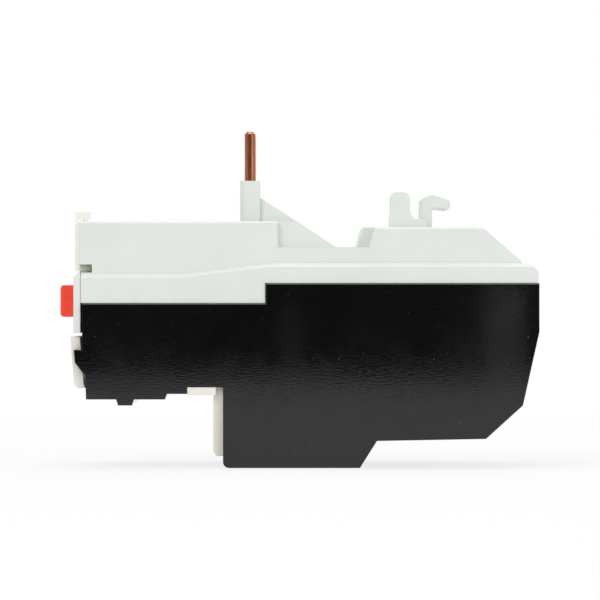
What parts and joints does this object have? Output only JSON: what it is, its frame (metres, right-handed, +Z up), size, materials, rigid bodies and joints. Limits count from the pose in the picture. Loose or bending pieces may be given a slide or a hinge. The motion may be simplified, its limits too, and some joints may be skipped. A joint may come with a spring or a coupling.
{
  "type": "thermal overload relay",
  "caption": "Three-pole plug-in thermal overload relay with pins, setting dial under a clear cover, stop and reset buttons and screw terminals.",
  "frame": {"origin": "on the middle line pin's axis, level with the top of its sheath", "axes": "+X from the operator's face to the mounting plate, +Y to the relay's left side seen from the operator, +Z up along the pins towards the contactor"},
  "size_m": [0.0963, 0.045, 0.0675],
  "materials": {
    "base_black": "glossy black moulding",
    "lid_pale": "satin pale grey-green moulding",
    "panel_pale": "satin",
    "cover_cream": "satin cream moulding",
    "cover_clear": "clear polycarbonate",
    "button_red": "gloss",
    "button_blue": "gloss",
    "button_small": "gloss",
    "dial_white": "satin",
    "linkage": "plain moulding",
    "copper": "drawn copper",
    "terminal_metal": "plated brass strip",
    "bimetal": "rolled strip",
    "heater": "wound ribbon",
    "screw_steel": "zinc-plated"
  },
  "bodies": {
    "housing": {"base_shell": "base_black", "top_housing": "lid_pale", "front_panel": "panel_pale", "aux_terminal_cover": "cover_cream", "power_terminal_cover": "cover_cream", "line_pin_1": "copper", "line_pin_2": "copper", "line_pin_3": "copper", "load_terminal_1": "terminal_metal", "load_terminal_2": "terminal_metal", "load_terminal_3": "terminal_metal", "aux_terminal_1": "terminal_metal", "aux_terminal_2": "terminal_metal", "aux_terminal_3": "terminal_metal", "aux_terminal_4": "terminal_metal"},
    "clear_cover": {"clear_cover": "cover_clear"},
    "setting_dial": {"setting_dial": "dial_white"},
    "adjusting_slide": {"adjusting_slide": "linkage"},
    "trip_lever": {"trip_lever": "linkage"},
    "trip_bar": {"trip_bar": "linkage"},
    "return_bar": {"return_bar": "linkage"},
    "contact_carrier": {"contact_carrier": "linkage", "closed_bridge": "terminal_metal", "open_bridge": "terminal_metal"},
    "stop_button": {"stop_button": "button_red"},
    "reset_plunger": {"reset_plunger": "linkage"},
    "reset_knob": {"reset_knob": "button_blue"},
    "test_button": {"test_button": "button_small"},
    "bimetal_1": {"bimetal_1": "bimetal", "heater_winding_1": "heater"},
    "power_screw_1": {"power_screw_1": "screw_steel", "power_clamp_1": "screw_steel"},
    "bimetal_2": {"bimetal_2": "bimetal", "heater_winding_2": "heater"},
    "power_screw_2": {"power_screw_2": "screw_steel", "power_clamp_2": "screw_steel"},
    "bimetal_3": {"bimetal_3": "bimetal", "heater_winding_3": "heater"},
    "power_screw_3": {"power_screw_3": "screw_steel", "power_clamp_3": "screw_steel"},
    "aux_screw_1": {"aux_screw_1": "screw_steel", "aux_clamp_1": "screw_steel"},
    "aux_screw_2": {"aux_screw_2": "screw_steel", "aux_clamp_2": "screw_steel"},
    "aux_screw_3": {"aux_screw_3": "screw_steel", "aux_clamp_3": "screw_steel"},
    "aux_screw_4": {"aux_screw_4": "screw_steel", "aux_clamp_4": "screw_steel"}
  },
  "joints": [
    {"name": "cover_hinge", "type": "hinge", "parent": "housing", "child": "clear_cover", "pos_m": [-0.0331, -0.0192, -0.0182], "axis": [0, 0, 1], "range_deg": [0, 90]},
    {"name": "dial_turn", "type": "hinge", "parent": "housing", "child": "setting_dial", "pos_m": [-0.0343, 0.007, -0.0143], "axis": [1, 0, 0], "range_deg": [0, 270]},
    {"name": "adjusting_slide", "type": "slide", "parent": "housing", "child": "adjusting_slide", "axis": [0, 1, 0], "range_m": [0, 0.002]},
    {"name": "trip_bar_slide", "type": "slide", "parent": "housing", "child": "trip_bar", "axis": [0, 1, 0], "range_m": [0, 0.0015], "stiffness_N_per_m": 200},
    {"name": "return_bar_slide", "type": "slide", "parent": "housing", "child": "return_bar", "axis": [0, 1, 0], "range_m": [0, 0.0015]},
    {"name": "trip_lever_turn", "type": "hinge", "parent": "adjusting_slide", "child": "trip_lever", "pos_m": [-0.014, 0.004, -0.0172], "axis": [0, 0, 1], "range_deg": [0, 7.6]},
    {"name": "carrier_slide", "type": "slide", "parent": "housing", "child": "contact_carrier", "axis": [1, 0, 0], "range_m": [0, 0.0013]},
    {"name": "stop_press", "type": "slide", "parent": "housing", "child": "stop_button", "axis": [1, 0, 0], "range_m": [0, 0.0025], "stiffness_N_per_m": 300, "springref_m": -0.003},
    {"name": "reset_press", "type": "slide", "parent": "housing", "child": "reset_plunger", "axis": [1, 0, 0], "range_m": [0, 0.0025], "stiffness_N_per_m": 300, "springref_m": -0.003},
    {"name": "reset_turn", "type": "hinge", "parent": "reset_plunger", "child": "reset_knob", "pos_m": [-0.03535, 0.0104, -0.0242], "axis": [1, 0, 0], "range_deg": [0, 90]},
    {"name": "test_press", "type": "slide", "parent": "housing", "child": "test_button", "axis": [1, 0, 0], "range_m": [0, 0.002], "stiffness_N_per_m": 200, "springref_m": -0.003},
    {"name": "bimetal_bend_1", "type": "hinge", "parent": "housing", "child": "bimetal_1", "pos_m": [0.048, -0.0142, -0.034], "axis": [0, 0, -1], "range_deg": [0, 2.2]},
    {"name": "bimetal_bend_2", "type": "hinge", "parent": "housing", "child": "bimetal_2", "pos_m": [0.048, 0, -0.034], "axis": [0, 0, -1], "range_deg": [0, 2.2]},
    {"name": "bimetal_bend_3", "type": "hinge", "parent": "housing", "child": "bimetal_3", "pos_m": [0.048, 0.0142, -0.034], "axis": [0, 0, -1], "range_deg": [0, 2.2]},
    {"name": "power_clamp_1", "type": "slide", "parent": "housing", "child": "power_screw_1", "axis": [-1, 0, 0], "range_m": [0, 0.0025]},
    {"name": "power_clamp_2", "type": "slide", "parent": "housing", "child": "power_screw_2", "axis": [-1, 0, 0], "range_m": [0, 0.0025]},
    {"name": "power_clamp_3", "type": "slide", "parent": "housing", "child": "power_screw_3", "axis": [-1, 0, 0], "range_m": [0, 0.0025]},
    {"name": "aux_clamp_1", "type": "slide", "parent": "housing", "child": "aux_screw_1", "axis": [-1, 0, 0], "range_m": [0, 0.002]},
    {"name": "aux_clamp_2", "type": "slide", "parent": "housing", "child": "aux_screw_2", "axis": [-1, 0, 0], "range_m": [0, 0.002]},
    {"name": "aux_clamp_3", "type": "slide", "parent": "housing", "child": "aux_screw_3", "axis": [-1, 0, 0], "range_m": [0, 0.002]},
    {"name": "aux_clamp_4", "type": "slide", "parent": "housing", "child": "aux_screw_4", "axis": [-1, 0, 0], "range_m": [0, 0.002]}
  ],
  "couplings": [
    {"joint": "dial_turn", "follows": "adjusting_slide", "rad_per_m": 2356.2},
    {"joint": "return_bar_slide", "follows": "trip_bar_slide", "ratio": 1},
    {"joint": "trip_lever_turn", "follows": "trip_bar_slide", "rad_per_m": 86.667},
    {"joint": "carrier_slide", "follows": "trip_bar_slide", "ratio": 0.86667},
    {"joint": "bimetal_bend_1", "follows": "trip_bar_slide", "rad_per_m": 24.969},
    {"joint": "bimetal_bend_2", "follows": "trip_bar_slide", "rad_per_m": 24.969},
    {"joint": "bimetal_bend_3", "follows": "trip_bar_slide", "rad_per_m": 24.969}
  ]
}
